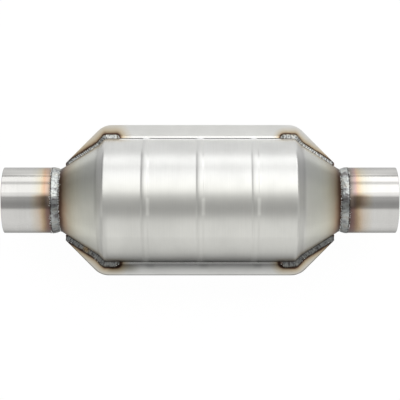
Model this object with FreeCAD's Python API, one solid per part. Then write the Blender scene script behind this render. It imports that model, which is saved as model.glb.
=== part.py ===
# Universal exhaust catalytic converter with a heat shield, lying on the shield.
#
# A round stainless can, spun down at both ends to a neck, holds two ceramic honeycomb bricks in
# their fibre mats and wire seals. A pipe stub is slipped over each neck and welded to it. The
# shield is one pressed tray under the can: its flat flange stands out at the can's mid height,
# its hemmed inner edge hugs the can, and four beads in the corners weld it to the can.
#
# Sizes are in millimetres. +X runs along the exhaust from inlet to outlet, +Z is up. Everything
# is modelled about the exhaust axis, and lifted at the end so that the part rests on z = 0 with
# the origin under its centre.

import FreeCAD, Part

import math
import os

from FreeCAD import Vector

# Driving dimensions

exhaust_pipe_diameter = 63.5  # the standard pipe that the converter joins

brick_diameter = 118.4
brick_length = 76.2
brick_gap = 20.0  # between the two bricks
brick_end_space = 12.1  # from a brick's outer face to the end of the barrel
brick_skin = 2.0
cell_pitch = 9.4  # drawn coarse: the real brick has about 1.27 mm
cell_web = 1.7

mat_thickness = 3.3  # pressed between the brick and the can
mat_joint_gap = 1.0
mat_tongue_width = 14.0
seal_width = 6.0

can_wall = 1.5
shoulder_drop = 6.6  # the 45 degree shoulder steps down this far
cone_length = 40.5  # from the foot of the shoulder to the neck
shoulder_bend = 4.0
shoulder_foot_bend = 4.0
neck_bend = 4.0

rib_pitch = 55.8
rib_foot_width = 8.2
rib_crest_width = 4.6
rib_height = 0.6
rib_foot_bend = 3.0
rib_crest_bend = 4.0
rib_sides = (-1, 0, 1)  # one rib in the middle and one on each side

pipe_wall = 2.0
pipe_slip = 0.25  # radial clearance round the car's pipe
pipe_length = 51.0
pipe_overlap = 10.0  # from the stub's foot to the step in its bore, where the car's pipe stops
pipe_stop_step = 0.5
neck_stop_gap = 0.5  # the neck ends this far short of the step
pipe_setback = 6.8  # from the end of the cone to the pipe's foot
pipe_edge_break = 0.5

ring_weld_width = 8.6
ring_weld_crown = 0.9  # how far the bead bulges past a straight fillet

shield_sheet = 1.0
shield_rib_gap = 0.1  # between the can's ribs and the shield's hemmed edge
shield_air_gap = 6.0  # under the can
shield_tip_air_gap = 4.0  # under the neck end of the cone
shield_tip_setback = 5.9  # the shield ends this far short of the cone's end
flange_reach = 14.2  # from the can's side to the flange's outer edge
left_flange_tip_width = 2.8  # what is left of the hem and flange at the tips on the +Y side
right_flange_tip_width = 6.0  # the same on the -Y side
left_flange_chamfer_offset = 1.8  # the corner chamfer starts this far past the barrel
right_flange_chamfer_offset = 5.0
flange_corner_radius = 21.0
hem_height = 1.7  # at the can; the folded edge slopes down from there
hem_outer_height = 0.9
hem_crown = 0.15
flange_bend = 1.5
tray_straight_side = 6.0
tray_flat_half_width = 22.0
tray_tip_flat_half_width = 9.0
stiffener_height = 2.5
stiffener_crest = 8.0
stiffener_foot = 14.0

left_shield_weld_radius = 4.8  # the pair of corner beads on the +Y side, along the barrel
left_shield_weld_cone_radius = 3.4  # the same beads along the cones
right_shield_weld_radius = 6.4  # the heavier pair on the -Y side
right_shield_weld_cone_radius = 5.8
shield_weld_reach = 15.5  # how far each corner bead reaches along the barrel
shield_weld_tip_margin = 1.5  # the bead ends this far short of the flange tip

# Sizes that follow from them

mouth_radius = exhaust_pipe_diameter / 2 + pipe_slip
pipe_radius = mouth_radius + pipe_wall
neck_radius = mouth_radius - pipe_stop_step
brick_radius = brick_diameter / 2
bore_radius = brick_radius + mat_thickness
can_radius = bore_radius + can_wall
brick_centre = (brick_gap + brick_length) / 2
mat_length = brick_length - 2 * seal_width

barrel_end = brick_centre + brick_length / 2 + brick_end_space
shoulder_end = barrel_end + shoulder_drop
shoulder_radius = can_radius - shoulder_drop
cone_end = shoulder_end + cone_length
cone_slope = (shoulder_radius - neck_radius) / cone_length

pipe_foot = cone_end + pipe_setback
pipe_stop = pipe_foot + pipe_overlap
neck_end = pipe_stop - neck_stop_gap
pipe_mouth = pipe_foot + pipe_length

flange_half_width = can_radius + flange_reach
shield_end = cone_end - shield_tip_setback
tray_depth = can_radius + shield_air_gap + shield_sheet
axis_height = tray_depth + stiffener_height
rib_spots = [side * rib_pitch for side in rib_sides]

X_AXIS = Vector(1, 0, 0)
ORIGIN = Vector(0, 0, 0)


# Outlines


def at(x, radius):
    """A point of a turned outline: x along the exhaust axis, radius out from it."""
    return Vector(x, 0, radius)


def rounded(points, bends):
    """Edges of an open outline through points, with an arc of the given radius at each corner."""
    edges = []
    last = points[0]
    for before, corner, after, bend in zip(points, points[1:], points[2:], bends):
        back = (before - corner).normalize()
        ahead = (after - corner).normalize()
        half_turn = (math.pi - back.getAngle(ahead)) / 2
        reach = bend * math.tan(half_turn)
        start = corner + back * reach
        end = corner + ahead * reach
        middle_line = (back + ahead).normalize()
        middle = corner + middle_line * bend * (1 / math.cos(half_turn) - 1)
        edges.append(Part.makeLine(last, start))
        edges.append(Part.Arc(start, middle, end).toShape())
        last = end
    edges.append(Part.makeLine(last, points[-1]))
    return edges


def polyline(points):
    return [Part.makeLine(a, b) for a, b in zip(points, points[1:])]


def turned(edges):
    """The solid that a closed outline of x and radius sweeps round the exhaust axis."""
    return Part.Face(Part.Wire(Part.sortEdges(edges)[0])).revolve(ORIGIN, X_AXIS, 360)


def ring(x_from, x_to, inner_radius, outer_radius):
    return turned(
        polyline(
            [
                at(x_from, inner_radius),
                at(x_from, outer_radius),
                at(x_to, outer_radius),
                at(x_to, inner_radius),
                at(x_from, inner_radius),
            ]
        )
    )


def mirrored_in_x(shape):
    return shape.mirror(ORIGIN, X_AXIS)


# The can


def can_points():
    """Corners of the can's outer skin from neck to neck, each as x, radius and bend."""
    outlet_end = [
        (barrel_end, can_radius, shoulder_bend),
        (shoulder_end, shoulder_radius, shoulder_foot_bend),
        (cone_end, neck_radius, neck_bend),
        (neck_end, neck_radius, 0),
    ]
    inlet_end = [(-x, radius, bend) for x, radius, bend in reversed(outlet_end)]
    ribs = []
    for spot in rib_spots:
        ribs += [
            (spot - rib_foot_width / 2, can_radius, rib_foot_bend),
            (spot - rib_crest_width / 2, can_radius + rib_height, rib_crest_bend),
            (spot + rib_crest_width / 2, can_radius + rib_height, rib_crest_bend),
            (spot + rib_foot_width / 2, can_radius, rib_foot_bend),
        ]
    return inlet_end + ribs + outlet_end


def inward(start, end):
    """The unit normal, toward the exhaust axis, of a stretch of outline that runs along +X."""
    run = (end - start).normalize()
    return Vector(run.z, 0, -run.x)


def skin(inset):
    """The can's skin moved inward by inset, with each bend's radius following."""
    corners = can_points()
    points = [at(x, radius) for x, radius, bend in corners]
    normals = [inward(start, end) for start, end in zip(points, points[1:])]
    normals = [normals[0]] + normals + [normals[-1]]
    moved = []
    bends = []
    for point, corner, before, after in zip(points, corners, normals, normals[1:]):
        moved.append(point + (before + after) * (inset / (1 + before.dot(after))))
        hollow = after.x > before.x
        bends.append(corner[2] + inset if hollow else corner[2] - inset)
    return rounded(moved, bends[1:-1])


def neck_rims():
    inner = neck_radius - can_wall
    return [
        Part.makeLine(at(side * neck_end, inner), at(side * neck_end, neck_radius))
        for side in (-1, 1)
    ]


def make_can():
    return turned(skin(0) + skin(can_wall) + neck_rims())


def make_can_envelope():
    """The can filled solid: what the weld beads are cut back from."""
    axis = polyline(
        [
            at(-neck_end, neck_radius),
            at(-neck_end, 0),
            at(neck_end, 0),
            at(neck_end, neck_radius),
        ]
    )
    return turned(skin(0) + axis)


# The pipe stubs and their welds


def make_outlet_pipe():
    """A stub whose mouth is sized for the car's pipe; its foot is slipped over the neck."""
    return turned(
        polyline(
            [
                at(pipe_foot, neck_radius),
                at(pipe_foot, pipe_radius),
                at(pipe_mouth - pipe_edge_break, pipe_radius),
                at(pipe_mouth, pipe_radius - pipe_edge_break),
                at(pipe_mouth, mouth_radius),
                at(pipe_stop, mouth_radius),
                at(pipe_stop, neck_radius),
                at(pipe_foot, neck_radius),
            ]
        )
    )


def make_outlet_weld(envelope):
    """A convex bead that fills the corner between the pipe's foot and the neck."""
    toe = at(pipe_foot - ring_weld_width, neck_radius)
    top = at(pipe_foot, pipe_radius)
    chord = top - toe
    outward = Vector(-chord.z, 0, chord.x).normalize()
    crown = (toe + top) * 0.5 + outward * ring_weld_crown
    root = at(pipe_foot, neck_radius)
    outline = [Part.Arc(toe, crown, top).toShape()] + polyline([top, root, toe])
    return turned(outline).cut(envelope)


# The heat shield


def can_side(x):
    """The can's radius at x, between its ribs."""
    if x <= barrel_end:
        return can_radius
    if x <= shoulder_end:
        return can_radius - (x - barrel_end)
    return shoulder_radius - (x - shoulder_end) * cone_slope


def hem_half_width(x):
    """Half width between the tray's hemmed edges at x, which just clear the can's ribs."""
    return can_side(x) + rib_height + shield_rib_gap


def quarter_bow(start, corner, end):
    """A quarter of an ellipse from start to end, touching both lines to corner."""
    curve = Part.BezierCurve()
    curve.setPoles([start, corner, end])
    curve.setWeight(2, math.sqrt(0.5))
    return curve.toShape()


def tray_section(x, depth, flat_half_width):
    """The sheet's closed section at x: flanges, hems, sides and flat bottom."""
    inner = hem_half_width(abs(x))
    outer = inner + shield_sheet
    hem = inner + 2 * shield_sheet
    hem_middle_height = (hem_height + hem_outer_height) / 2 + hem_crown
    spread = 2 * flange_half_width  # past the flange's edge, which is trimmed later
    floor = depth - shield_sheet

    def p(side, y, z):
        return Vector(x, side * y, z)

    def upper_edges(side):
        return [
            Part.makeLine(p(side, spread, 0), p(side, hem, 0)),
            Part.makeLine(p(side, hem, 0), p(side, hem, hem_outer_height)),
            Part.Arc(
                p(side, hem, hem_outer_height),
                p(side, outer, hem_middle_height),
                p(side, inner, hem_height),
            ).toShape(),
            Part.makeLine(p(side, inner, hem_height), p(side, inner, -tray_straight_side)),
            quarter_bow(
                p(side, inner, -tray_straight_side),
                p(side, inner, -floor),
                p(side, flat_half_width, -floor),
            ),
        ]

    def lower_edges(side):
        bend_foot = outer + flange_bend
        bend_top = -shield_sheet - flange_bend
        bend_half = flange_bend * (1 - math.sqrt(0.5))
        return [
            Part.makeLine(p(side, spread, 0), p(side, spread, -shield_sheet)),
            Part.makeLine(p(side, spread, -shield_sheet), p(side, bend_foot, -shield_sheet)),
            Part.Arc(
                p(side, bend_foot, -shield_sheet),
                p(side, outer + bend_half, -shield_sheet - bend_half),
                p(side, outer, bend_top),
            ).toShape(),
            Part.makeLine(p(side, outer, bend_top), p(side, outer, -tray_straight_side)),
            quarter_bow(
                p(side, outer, -tray_straight_side),
                p(side, outer, -depth),
                p(side, flat_half_width, -depth),
            ),
        ]

    flats = [
        Part.makeLine(p(1, flat_half_width, -z), p(-1, flat_half_width, -z))
        for z in (floor, depth)
    ]
    edges = flats
    for side in (1, -1):
        edges += upper_edges(side) + lower_edges(side)
    return Part.Wire(Part.sortEdges(edges)[0])


def tray_stations():
    """Where the tray's section changes, as x, depth and half width of the flat bottom."""
    tip_depth = can_side(shield_end) + shield_tip_air_gap + shield_sheet
    outlet_end = [
        (barrel_end, tray_depth, tray_flat_half_width),
        (shoulder_end, tray_depth - shoulder_drop, tray_flat_half_width),
        (shield_end, tip_depth, tray_tip_flat_half_width),
    ]
    inlet_end = [(-x, depth, half_width) for x, depth, half_width in reversed(outlet_end)]
    middle = []
    for spot in rib_spots:
        for offset, extra in (
            (-stiffener_foot / 2, 0),
            (-stiffener_crest / 2, stiffener_height),
            (stiffener_crest / 2, stiffener_height),
            (stiffener_foot / 2, 0),
        ):
            middle.append((spot + offset, tray_depth + extra, tray_flat_half_width))
    return inlet_end + middle + outlet_end


def flange_side(side, chamfer_offset, tip_width):
    """One long side of the flange's outer edge, and its half of both ends."""
    tip = hem_half_width(shield_end) + tip_width
    points = [
        Vector(0, side * flange_half_width, 0),
        Vector(barrel_end + chamfer_offset, side * flange_half_width, 0),
        Vector(shield_end, side * tip, 0),
    ]
    edges = rounded(points, [flange_corner_radius])
    edges.append(Part.makeLine(points[-1], Vector(shield_end, 0, 0)))
    return edges + [mirrored_in_x(edge) for edge in edges]


def flange_outline():
    """The flange's outer edge seen from above, with rounded corners, as a tall prism."""
    edges = flange_side(1, left_flange_chamfer_offset, left_flange_tip_width)
    edges += flange_side(-1, right_flange_chamfer_offset, right_flange_tip_width)
    face = Part.Face(Part.Wire(Part.sortEdges(edges)[0]))
    face.translate(Vector(0, 0, -axis_height * 2))
    return face.extrude(Vector(0, 0, axis_height * 4))


def make_shield():
    sections = [tray_section(*station) for station in tray_stations()]
    tray = Part.makeLoft(sections, True, True)
    return tray.common(flange_outline())


def shield_weld_path(side, radius, cone_radius):
    """Centres and radii of a bead in the corner where the can's side meets the flange."""
    start = barrel_end - shield_weld_reach + radius
    tip = shield_end - shield_weld_tip_margin
    return [
        (Vector(start, side * can_radius, 0), radius),
        (Vector(barrel_end, side * can_radius, 0), radius),
        (Vector(shoulder_end, side * shoulder_radius, 0), cone_radius),
        (Vector(tip, side * can_side(tip), 0), cone_radius),
    ]


def bead_leg(start, start_radius, end, end_radius):
    run = end - start
    if start_radius == end_radius:
        return Part.makeCylinder(start_radius, run.Length, start, run)
    return Part.makeCone(start_radius, end_radius, run.Length, start, run)


def make_corner_space(envelope, shield):
    """The space above the flange outside the filled can and the shield: where the beads may lie."""
    corner = Vector(-pipe_mouth, -pipe_mouth, 0)
    above = Part.makeBox(2 * pipe_mouth, 2 * pipe_mouth, can_radius, corner)
    return above.cut(envelope).cut(shield)


def make_shield_weld(side, radius, cone_radius, corner_space):
    """A convex corner bead with round ends, trimmed to the can, the hem and the flange's edge."""
    path = shield_weld_path(side, radius, cone_radius)
    bead = Part.makeSphere(radius, path[0][0])
    for start, end in zip(path, path[1:]):
        bead = bead.fuse(bead_leg(*start, *end))
        bead = bead.fuse(Part.makeSphere(end[1], end[0]))
    return corner_space.common(bead).common(flange_outline())


# The bricks, their mats and seals


def cell_spots():
    """Centres of the square cells that lie wholly inside the brick's skin."""
    across = int(brick_diameter / cell_pitch)
    half_cell = (cell_pitch - cell_web) / 2
    limit = brick_radius - brick_skin
    spots = []
    for row in range(-across, across + 1):
        for column in range(-across, across + 1):
            y = row * cell_pitch
            z = column * cell_pitch
            if math.hypot(abs(y) + half_cell, abs(z) + half_cell) <= limit:
                spots.append((y, z))
    return spots


def make_brick(centre):
    side = cell_pitch - cell_web
    start = centre - brick_length / 2
    outer = Part.makeCircle(brick_radius, Vector(start, 0, 0), X_AXIS)
    cells = []
    for y, z in cell_spots():
        low = Vector(start, y - side / 2, z - side / 2)
        corners = [
            low,
            low + Vector(0, side, 0),
            low + Vector(0, side, side),
            low + Vector(0, 0, side),
            low,
        ]
        cells.append(Part.makePolygon(corners))
    face = Part.makeFace([Part.Wire(outer)] + cells, "Part::FaceMakerBullseye")
    return face.extrude(Vector(brick_length, 0, 0))


def make_mat(centre):
    """A fibre sheet wrapped round its brick, with the tongue and groove where its ends meet."""
    mat = ring(
        centre - mat_length / 2,
        centre + mat_length / 2,
        brick_radius,
        bore_radius,
    )
    third = mat_length / 3
    gap = mat_joint_gap
    height = can_radius
    start = centre - mat_length / 2
    slits = [
        Part.makeBox(third, gap, height, Vector(start, 0, 0)),
        Part.makeBox(third, gap, height, Vector(start + third, mat_tongue_width, 0)),
        Part.makeBox(third, gap, height, Vector(start + 2 * third, 0, 0)),
        Part.makeBox(gap, mat_tongue_width + gap, height, Vector(start + third - gap, 0, 0)),
        Part.makeBox(gap, mat_tongue_width + gap, height, Vector(start + 2 * third, 0, 0)),
    ]
    for slit in slits:
        mat = mat.cut(slit)
    return mat


def make_seal(centre, side):
    """A knitted wire ring that keeps the gas off one edge of a mat."""
    near = centre + side * mat_length / 2
    far = centre + side * brick_length / 2
    return ring(min(near, far), max(near, far), brick_radius, bore_radius)


# The whole converter


def make_converter():
    envelope = make_can_envelope()
    shield = make_shield()
    outlet_pipe = make_outlet_pipe()
    outlet_weld = make_outlet_weld(envelope)
    corner_space = make_corner_space(envelope, shield)
    left_radii = (left_shield_weld_radius, left_shield_weld_cone_radius)
    right_radii = (right_shield_weld_radius, right_shield_weld_cone_radius)
    left_corner = make_shield_weld(1, *left_radii, corner_space)
    right_corner = make_shield_weld(-1, *right_radii, corner_space)
    pieces = {
        "can": make_can(),
        "inlet_pipe": mirrored_in_x(outlet_pipe),
        "outlet_pipe": outlet_pipe,
        "inlet_pipe_weld": mirrored_in_x(outlet_weld),
        "outlet_pipe_weld": outlet_weld,
        "heat_shield": shield,
        "shield_weld_outlet_left": left_corner,
        "shield_weld_outlet_right": right_corner,
        "shield_weld_inlet_left": mirrored_in_x(left_corner),
        "shield_weld_inlet_right": mirrored_in_x(right_corner),
    }
    for name, centre in (("front", -brick_centre), ("rear", brick_centre)):
        pieces[name + "_brick"] = make_brick(centre)
        pieces[name + "_mat"] = make_mat(centre)
        pieces[name + "_brick_inlet_seal"] = make_seal(centre, -1)
        pieces[name + "_brick_outlet_seal"] = make_seal(centre, 1)
    return pieces


def main():
    os.makedirs("parts", exist_ok=True)
    for name, shape in make_converter().items():
        solid = shape.copy()
        solid.translate(Vector(0, 0, axis_height))
        solid.exportStep("parts/" + name + ".step")
        print(f"{name}: {len(solid.Solids)} solid, {solid.Volume / 1000:.1f} cm3, valid {solid.isValid()}")


main()
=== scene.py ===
"""The catalytic converter lying on its heat shield on a white studio table, seen from straight above."""

import math
import random
from functools import partialmethod, reduce

import bmesh
import bpy
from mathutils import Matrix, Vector, noise


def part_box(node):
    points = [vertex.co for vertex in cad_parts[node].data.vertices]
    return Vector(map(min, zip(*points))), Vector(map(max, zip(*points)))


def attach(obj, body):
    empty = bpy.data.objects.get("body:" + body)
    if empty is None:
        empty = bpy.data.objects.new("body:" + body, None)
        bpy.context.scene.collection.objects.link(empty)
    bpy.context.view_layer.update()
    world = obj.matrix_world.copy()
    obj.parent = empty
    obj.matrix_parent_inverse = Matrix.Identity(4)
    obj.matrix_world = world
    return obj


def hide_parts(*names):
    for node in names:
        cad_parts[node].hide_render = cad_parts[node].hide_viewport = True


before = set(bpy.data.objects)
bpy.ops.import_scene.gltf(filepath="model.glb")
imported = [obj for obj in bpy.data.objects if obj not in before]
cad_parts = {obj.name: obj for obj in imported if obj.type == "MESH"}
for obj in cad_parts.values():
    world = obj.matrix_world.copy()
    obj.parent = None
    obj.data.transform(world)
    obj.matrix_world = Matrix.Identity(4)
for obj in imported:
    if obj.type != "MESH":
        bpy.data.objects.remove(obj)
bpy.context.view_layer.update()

MM = 0.001
random.seed(11)

# Places read from the frame, in metres

pipe_low, pipe_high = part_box("outlet_pipe")
can_low, can_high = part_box("can")
ring_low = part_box("outlet_pipe_weld")[0]
corner_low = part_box("shield_weld_outlet_left")[0]
shield_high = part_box("heat_shield")[1]

AXIS_Z = (pipe_low[2] + pipe_high[2]) / 2
PIPE_RADIUS = (pipe_high[2] - pipe_low[2]) / 2
PIPE_FOOT = pipe_low[0]
PIPE_MOUTH = pipe_high[0]
RING_WIDTH = PIPE_FOOT - ring_low[0]
NECK_END = can_high[0]
FLANGE_TOP = corner_low[2]
FLANGE_HALF_WIDTH = shield_high[1]
SHIELD_END = shield_high[0]

# Sizes of the pieces that are remade here, in metres, as the solids have them

CAN_WALL = 1.5 * MM
RIB_HEIGHT = 0.6 * MM
RIB_FOOT = 8.2 * MM
RIB_CREST = 4.6 * MM
RIB_PITCH = 55.8 * MM
CAN_RADIUS = (can_high[2] - can_low[2]) / 2 - RIB_HEIGHT
SHOULDER_DROP = 6.6 * MM
BARREL_END = 98.3 * MM
SHOULDER_END = BARREL_END + SHOULDER_DROP
SHOULDER_RADIUS = CAN_RADIUS - SHOULDER_DROP
CONE_LENGTH = 40.5 * MM
CONE_END = SHOULDER_END + CONE_LENGTH
NECK_RADIUS = 31.5 * MM
CONE_SLOPE = (SHOULDER_RADIUS - NECK_RADIUS) / CONE_LENGTH
SPUN_BEND = 4.0 * MM
RIB_FOOT_BEND = 3.0 * MM
EDGE_ROUNDING = 0.3 * MM
SPUN_ERROR = 0.07 * MM
SPUN_RINGS = 0.018 * MM

PIPE_STOP = PIPE_FOOT + 10.0 * MM
PIPE_INNER_FOOT = NECK_RADIUS + 0.02 * MM
MOUTH_RADIUS = 32.0 * MM
MOUTH_ROUNDING = 0.5 * MM

RING_CROWN = 0.9 * MM
RING_PITCH = 2.9 * MM
BEAD_RADII = {"left": 4.8 * MM, "right": 6.4 * MM}
BEAD_CONE_RADII = {"left": 3.4 * MM, "right": 5.8 * MM}
BEAD_PITCH = 2.3 * MM
BEAD_START = BARREL_END - 15.5 * MM
BEAD_TIP = SHIELD_END - 1.5 * MM
CHAMFER_LINES = {"left": 178.2 * MM, "right": 181.4 * MM}  # x plus y along the flange's slanted edges

BRICK_RADIUS = 59.2 * MM
CELL_PITCH = 1.6 * MM
CELL_WEB = 0.22 * MM
BRICK_SKIN = 0.8 * MM


def mm(*sizes):
    """Sizes in millimetres, as metres."""
    return [size * MM for size in sizes]


def can_side(x):
    """The can's radius at x between its ribs."""
    x = abs(x)
    if x <= BARREL_END:
        return CAN_RADIUS
    if x <= SHOULDER_END:
        return CAN_RADIUS - (x - BARREL_END)
    return max(SHOULDER_RADIUS - (x - SHOULDER_END) * CONE_SLOPE, NECK_RADIUS)


# Shader building


class Value:
    """A node's output that reads like a number: an expression on it adds its Math nodes."""

    def __init__(self, shader, socket):
        self.shader = shader
        self.socket = socket

    def math(self, operation, *others):
        node = self.shader.add("Math", operation=operation)
        for slot, value in zip(node.inputs, (self, *others)):
            self.shader.feed(slot, value)
        return Value(self.shader, node.outputs[0])

    __add__ = __radd__ = partialmethod(math, "ADD")
    __sub__ = partialmethod(math, "SUBTRACT")
    __mul__ = __rmul__ = partialmethod(math, "MULTIPLY")
    __truediv__ = partialmethod(math, "DIVIDE")
    __pow__ = partialmethod(math, "POWER")
    abs = partialmethod(math, "ABSOLUTE")
    low = partialmethod(math, "MINIMUM")
    high = partialmethod(math, "MAXIMUM")
    above = partialmethod(math, "GREATER_THAN")

    def __neg__(self):
        return self * -1

    def __rsub__(self, other):
        return -self + other

    def unit(self):
        """The value held between 0 and 1."""
        return self.high(0.0).low(1.0)

    def fade(self, start, end):
        """0 at start and 1 at end, smoothly."""
        t = ((self - start) / (end - start)).unit()
        return t * t * (3.0 - 2.0 * t)

    def within(self, start, full, fading, end):
        """1 from full to fading, and smoothly down to 0 at start and at end."""
        return self.fade(start, full) * self.fade(end, fading)


def full_colour(colour):
    """A grey level or a red, green and blue as a node's colour; a socket stays as it is."""
    if isinstance(colour, (int, float)):
        return (colour, colour, colour, 1.0)
    if isinstance(colour, (tuple, list)):
        return (*colour, 1.0)
    return colour


class Shader:
    """Adds nodes to a material's or world's tree."""

    def __init__(self, owner):
        self.owner = owner
        owner.use_nodes = True
        self.tree = owner.node_tree
        self.tree.nodes.clear()

    def feed(self, slot, value):
        if isinstance(value, Value):
            self.tree.links.new(value.socket, slot)
        elif isinstance(value, bpy.types.NodeSocket):
            self.tree.links.new(value, slot)
        else:
            slot.default_value = value

    def add(self, kind, sockets=None, **settings):
        node = self.tree.nodes.new("ShaderNode" + kind)
        for name, value in settings.items():
            setattr(node, name, value)
        for name, value in (sockets or {}).items():
            self.feed(node.inputs[name], value)
        return node

    def value(self, node, output=0):
        return Value(self, node.outputs[output])

    def attribute(self, name):
        """A value that each of the mesh's points carries."""
        return self.value(self.add("Attribute", attribute_name=name), 2)

    def place(self, coordinates="Object"):
        """The x, y and z of a point of the part, in metres, or of a direction into the world."""
        coords = self.add("TexCoord")
        split = self.add("SeparateXYZ", {"Vector": coords.outputs[coordinates]})
        return [self.value(split, i) for i in range(3)]

    def vector(self, x, y, z):
        return self.add("CombineXYZ", {"X": x, "Y": y, "Z": z}).outputs[0]

    def noise(self, vector, scale=1.0, detail=3.0, roughness=0.55):
        sockets = {"Vector": vector, "Scale": scale, "Detail": detail, "Roughness": roughness}
        return self.value(self.add("TexNoise", sockets))

    def grain(self, place, scales, detail=3.0, roughness=0.55):
        """Noise with a scale of its own along each of x, y and z."""
        stretched = [value * scale for value, scale in zip(place, scales)]
        return self.noise(self.vector(*stretched), 1.0, detail, roughness)

    def ramp(self, fac, stops):
        """The colour that the factor picks between stops, each a (position, colour or grey level)."""
        node = self.add("ValToRGB", {"Fac": fac})
        elements = node.color_ramp.elements
        while len(elements) < len(stops):
            elements.new(0.5)
        for element, (position, colour) in zip(elements, stops):
            element.position = position
            element.color = full_colour(colour)
        return node.outputs["Color"]

    def blend(self, fac, a, b, mode="MIX"):
        """Colour a where the factor is 0 and b where it is 1."""
        node = self.add("Mix", {"Factor": fac}, data_type="RGBA", blend_type=mode)
        self.feed(node.inputs[6], full_colour(a))
        self.feed(node.inputs[7], full_colour(b))
        return node.outputs[2]

    def times(self, colour, other, share=1.0):
        """The colour times another one or a grey level, as far as the share says."""
        return self.blend(share, colour, other, "MULTIPLY")

    def bump(self, height, strength, distance):
        sockets = {"Strength": strength, "Distance": distance, "Height": height}
        return self.add("Bump", sockets).outputs["Normal"]

    def finish(self, **sockets):
        """The material, with a Principled shader that has these sockets as its surface."""
        names = {name.replace("_", " "): value for name, value in sockets.items()}
        surface = self.add("BsdfPrincipled", names)
        self.add("OutputMaterial", {"Surface": surface.outputs["BSDF"]})
        return self.owner

    def mix(self, fac, a, b):
        """Shader a where the factor is 0 and b where it is 1."""
        node = self.add("MixShader", {"Fac": fac})
        self.feed(node.inputs[1], a.outputs[0])
        self.feed(node.inputs[2], b.outputs[0])
        return node.outputs[0]


def new_shader(name):
    return Shader(bpy.data.materials.new(name))


# Where the welds heat the steel


def segment_distance(u, v, start, end):
    """Squared distance in the plane from the point u, v to a stretch of weld from start to end."""
    du = end[0] - start[0]
    dv = end[1] - start[1]
    length = du * du + dv * dv
    t = (((u - start[0]) * du + (v - start[1]) * dv) / length).unit()
    gap_u = u - start[0] - t * du
    gap_v = v - start[1] - t * dv
    return gap_u * gap_u + gap_v * gap_v


def corner_path(start):
    """Corners of a shield weld's line, seen from above, from start on the barrel to its tip."""
    return [
        (start, CAN_RADIUS),
        (BARREL_END, CAN_RADIUS),
        (SHOULDER_END, SHOULDER_RADIUS),
        (BEAD_TIP, can_side(BEAD_TIP)),
    ]


def by_hand(y, sizes):
    """The size that belongs to the side of the part that y is on."""
    return sizes["left"] + (sizes["right"] - sizes["left"]) * (-y).above(0.0)


def corner_weld_distance(x, y, z):
    """Distance from the edge of the nearest shield weld, in millimetres."""
    u = x.abs()
    v = y.abs()
    path = corner_path(BEAD_START + BEAD_RADII["left"])
    nearest = reduce(Value.low, [segment_distance(u, v, *ends) for ends in zip(path, path[1:])])
    lift = z - FLANGE_TOP
    on_cone = u.fade(BARREL_END, SHOULDER_END)
    radius = by_hand(y, BEAD_RADII) * (1.0 - on_cone) + by_hand(y, BEAD_CONE_RADII) * on_cone
    return ((nearest + lift * lift) ** 0.5 - radius) / MM


NEUTRAL = (1.0, 1.0, 1.0)

CAN_UPPER_TINT = [
    (0.0, (0.16, 0.115, 0.095)), (0.025, (0.13, 0.075, 0.055)), (0.055, (0.17, 0.105, 0.075)),
    (0.095, (0.34, 0.25, 0.18)), (0.14, (0.50, 0.40, 0.30)), (0.21, (0.66, 0.58, 0.47)),
    (0.31, (0.80, 0.76, 0.64)), (0.41, (0.92, 0.90, 0.80)), (0.6, (0.97, 0.98, 0.925)),
    (0.9, (0.99, 1.0, 0.975)), (1.0, NEUTRAL),
]

CAN_LOWER_TINT = [
    (0.0, (0.16, 0.115, 0.095)), (0.025, (0.13, 0.075, 0.055)), (0.055, (0.19, 0.11, 0.08)),
    (0.095, (0.38, 0.26, 0.185)), (0.14, (0.59, 0.43, 0.32)), (0.21, (0.75, 0.65, 0.52)),
    (0.31, (0.88, 0.83, 0.71)), (0.41, (0.97, 0.94, 0.85)), (0.6, (1.0, 1.0, 0.94)),
    (0.9, (1.0, 1.0, 0.97)), (1.0, NEUTRAL),
]

INLET_PIPE_TINT = [
    (0.0, (0.12, 0.095, 0.09)), (0.05, (0.44, 0.35, 0.30)), (0.11, (0.72, 0.57, 0.47)),
    (0.20, (0.92, 0.67, 0.54)), (0.30, (0.94, 0.645, 0.46)), (0.40, (0.99, 0.79, 0.59)),
    (0.50, (0.99, 0.91, 0.75)), (0.75, (1.0, 0.985, 0.93)), (1.0, NEUTRAL),
]

OUTLET_PIPE_TINT = [
    (0.0, (0.10, 0.085, 0.09)), (0.05, (0.30, 0.27, 0.26)), (0.10, (0.46, 0.40, 0.37)),
    (0.17, (0.60, 0.49, 0.47)), (0.25, (0.76, 0.55, 0.53)), (0.33, (0.96, 0.71, 0.54)),
    (0.42, (1.0, 0.85, 0.64)), (0.56, (0.99, 0.94, 0.82)), (0.75, (1.0, 0.985, 0.94)), (1.0, NEUTRAL),
]

PIPE_CROWN_TINT = [
    (0.0, (0.10, 0.08, 0.07)), (0.06, (0.42, 0.34, 0.29)), (0.12, (0.44, 0.35, 0.30)),
    (0.21, (0.31, 0.24, 0.20)), (0.31, (0.34, 0.25, 0.17)), (0.40, (0.43, 0.32, 0.22)),
    (0.50, (0.60, 0.46, 0.36)), (0.60, (0.74, 0.60, 0.48)), (0.78, (0.94, 0.87, 0.75)), (1.0, NEUTRAL),
]

PIPE_LOWER_TINT = [
    (0.0, (0.10, 0.07, 0.065)), (0.05, (0.20, 0.14, 0.13)), (0.12, (0.28, 0.18, 0.165)),
    (0.21, (0.34, 0.22, 0.18)), (0.31, (0.49, 0.35, 0.24)), (0.41, (0.71, 0.55, 0.38)),
    (0.50, (0.86, 0.71, 0.57)), (0.60, (0.92, 0.82, 0.72)), (0.80, (0.97, 0.93, 0.87)), (1.0, NEUTRAL),
]

CORNER_TINT = [
    (0.0, (0.11, 0.062, 0.045)), (0.06, (0.20, 0.125, 0.088)), (0.15, (0.58, 0.46, 0.32)),
    (0.30, (0.84, 0.73, 0.57)), (0.58, (0.94, 0.89, 0.81)), (1.0, NEUTRAL),
]

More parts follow.
